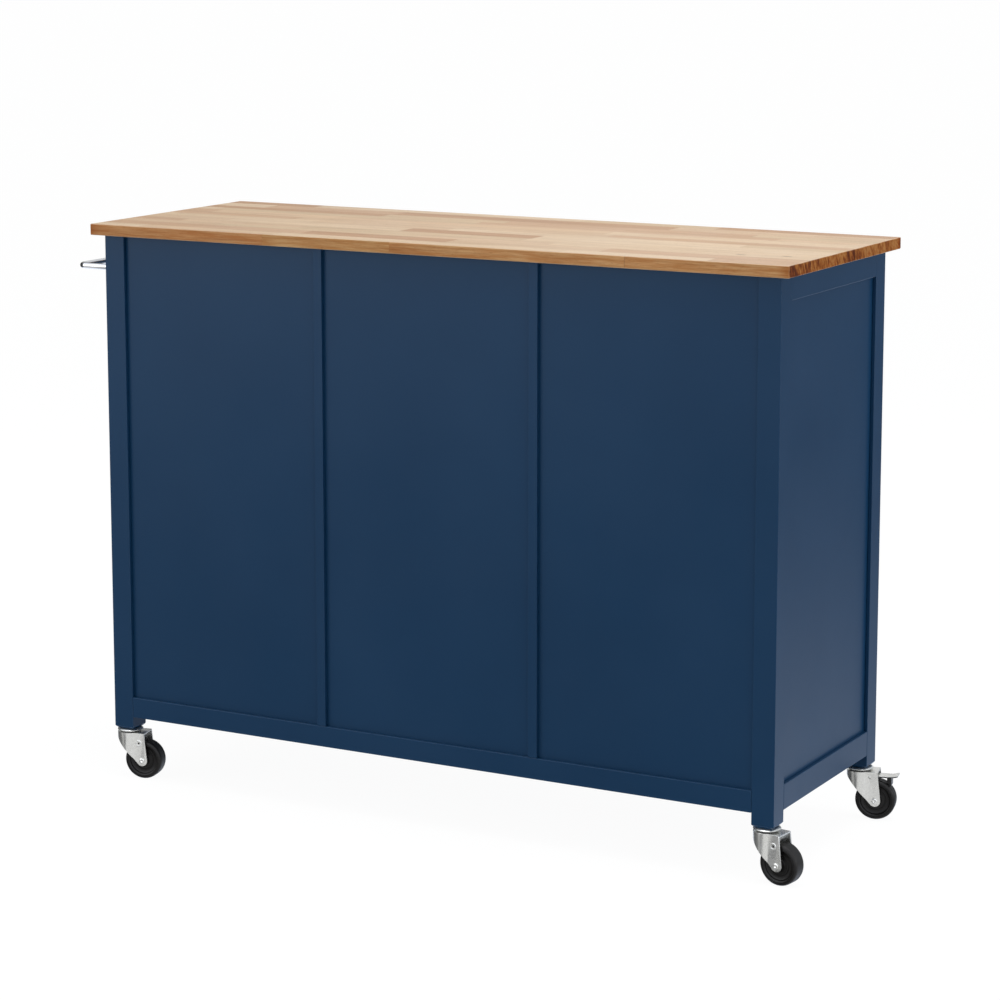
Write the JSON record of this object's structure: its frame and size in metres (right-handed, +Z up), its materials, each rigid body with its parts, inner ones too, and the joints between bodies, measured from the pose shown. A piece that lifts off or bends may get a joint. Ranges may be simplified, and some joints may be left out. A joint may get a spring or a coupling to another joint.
{
  "type": "kitchen island cart",
  "caption": "Rolling kitchen island: painted cabinet with a wooden worktop, drawers over doors, an open middle bay, a side towel bar and swivel casters.",
  "frame": {"origin": "on the floor, under the centre of the worktop", "axes": "+Z up; the drawers and doors face -Y; +X towards the end with the towel bar, the right-hand end seen from the front"},
  "size_m": [1.2843, 0.4404, 0.914],
  "materials": {
    "navy_paint": "satin navy paint on wood and fibreboard",
    "worktop_wood": "oiled hardwood staves",
    "drawer_wood": "clear sealed pale wood",
    "chrome_bar": "polished chrome",
    "zinc_steel": "bright zinc plated pressed steel",
    "knob_metal": "satin nickel",
    "wheel_rubber": "hard black rubber"
  },
  "bodies": {
    "root": {"worktop": "worktop_wood", "leg_rear_left": "navy_paint", "leg_rear_right": "navy_paint", "leg_front_left": "navy_paint", "leg_front_right": "navy_paint", "back_panel_left": "navy_paint", "back_panel_centre": "navy_paint", "back_panel_right": "navy_paint", "rear_bottom_rail": "navy_paint", "front_bottom_rail": "navy_paint", "side_bottom_rail_left": "navy_paint", "side_top_rail_left": "navy_paint", "side_panel_left": "navy_paint", "side_bottom_rail_right": "navy_paint", "side_top_rail_right": "navy_paint", "side_panel_right": "navy_paint", "bottom_board": "navy_paint", "partition_left": "navy_paint", "partition_right": "navy_paint", "drawer_deck": "navy_paint", "shelf_left": "navy_paint", "shelf_right": "navy_paint", "shelf_centre": "navy_paint", "towel_bar": "chrome_bar", "caster_stem_rear_left": "zinc_steel", "caster_stem_rear_right": "zinc_steel", "caster_stem_front_left": "zinc_steel", "caster_stem_front_right": "zinc_steel", "hinge_lower_left": "knob_metal", "hinge_upper_left": "knob_metal", "hinge_lower_right": "knob_metal", "hinge_upper_right": "knob_metal"},
    "drawer_left": {"drawer_front_left": "navy_paint", "drawer_box_left": "drawer_wood", "drawer_knob_left": "knob_metal"},
    "drawer_centre": {"drawer_front_centre": "navy_paint", "drawer_box_centre": "drawer_wood", "drawer_knob_centre": "knob_metal"},
    "drawer_right": {"drawer_front_right": "navy_paint", "drawer_box_right": "drawer_wood", "drawer_knob_right": "knob_metal"},
    "door_left": {"door_left": "navy_paint", "door_knob_left": "knob_metal"},
    "door_right": {"door_right": "navy_paint", "door_knob_right": "knob_metal"},
    "fork_rear_left": {"caster_fork_rear_left": "zinc_steel", "caster_axle_rear_left": "zinc_steel"},
    "wheel_rear_left": {"caster_wheel_rear_left": "wheel_rubber"},
    "fork_rear_right": {"caster_fork_rear_right": "zinc_steel", "caster_axle_rear_right": "zinc_steel"},
    "wheel_rear_right": {"caster_wheel_rear_right": "wheel_rubber"},
    "fork_front_left": {"caster_fork_front_left": "zinc_steel", "caster_axle_front_left": "zinc_steel"},
    "wheel_front_left": {"caster_wheel_front_left": "wheel_rubber"},
    "fork_front_right": {"caster_fork_front_right": "zinc_steel", "caster_axle_front_right": "zinc_steel"},
    "wheel_front_right": {"caster_wheel_front_right": "wheel_rubber"},
    "pedal_front_left": {"brake_pedal_front_left": "zinc_steel"},
    "pedal_front_right": {"brake_pedal_front_right": "zinc_steel"}
  },
  "joints": [
    {"name": "drawer_left_slide", "type": "slide", "parent": "root", "child": "drawer_left", "axis": [0, -1, 0], "range_m": [0, 0.28]},
    {"name": "drawer_centre_slide", "type": "slide", "parent": "root", "child": "drawer_centre", "axis": [0, -1, 0], "range_m": [0, 0.28]},
    {"name": "drawer_right_slide", "type": "slide", "parent": "root", "child": "drawer_right", "axis": [0, -1, 0], "range_m": [0, 0.28]},
    {"name": "door_left_hinge", "type": "hinge", "parent": "root", "child": "door_left", "pos_m": [-0.54945, -0.2017, 0.42935], "axis": [0, 0, -1], "range_deg": [0, 170]},
    {"name": "door_right_hinge", "type": "hinge", "parent": "root", "child": "door_right", "pos_m": [0.54945, -0.2017, 0.42935], "axis": [0, 0, 1], "range_deg": [0, 170]},
    {"name": "swivel_rear_left", "type": "hinge", "parent": "root", "child": "fork_rear_left", "pos_m": [-0.5687, 0.183, 0.08], "axis": [0, 0, 1], "continuous": true},
    {"name": "roll_rear_left", "type": "hinge", "parent": "fork_rear_left", "child": "wheel_rear_left", "pos_m": [-0.59445, 0.18662, 0.03175], "axis": [-0.1392, -0.9903, 0], "continuous": true},
    {"name": "swivel_rear_right", "type": "hinge", "parent": "root", "child": "fork_rear_right", "pos_m": [0.5687, 0.183, 0.08], "axis": [0, 0, 1], "continuous": true},
    {"name": "roll_rear_right", "type": "hinge", "parent": "fork_rear_right", "child": "wheel_rear_right", "pos_m": [0.54327, 0.17759, 0.03175], "axis": [0.2079, -0.9781, 0], "continuous": true},
    {"name": "swivel_front_left", "type": "hinge", "parent": "root", "child": "fork_front_left", "pos_m": [-0.5687, -0.1799, 0.08], "axis": [0, 0, 1], "continuous": true},
    {"name": "roll_front_left", "type": "hinge", "parent": "fork_front_left", "child": "wheel_front_left", "pos_m": [-0.59403, -0.18575, 0.03175], "axis": [0.225, -0.9744, 0], "continuous": true},
    {"name": "brake_front_left", "type": "hinge", "parent": "fork_front_left", "child": "pedal_front_left", "pos_m": [-0.58624, -0.18395, 0.0693], "axis": [0.225, -0.9744, 0], "range_deg": [0, 4]},
    {"name": "swivel_front_right", "type": "hinge", "parent": "root", "child": "fork_front_right", "pos_m": [0.5687, -0.1799, 0.08], "axis": [0, 0, 1], "continuous": true},
    {"name": "roll_front_right", "type": "hinge", "parent": "fork_front_right", "child": "wheel_front_right", "pos_m": [0.54284, -0.18262, 0.03175], "axis": [0.1045, -0.9945, 0], "continuous": true},
    {"name": "brake_front_right", "type": "hinge", "parent": "fork_front_right", "child": "pedal_front_right", "pos_m": [0.5508, -0.18178, 0.0693], "axis": [0.1045, -0.9945, 0], "range_deg": [0, 4]}
  ]
}
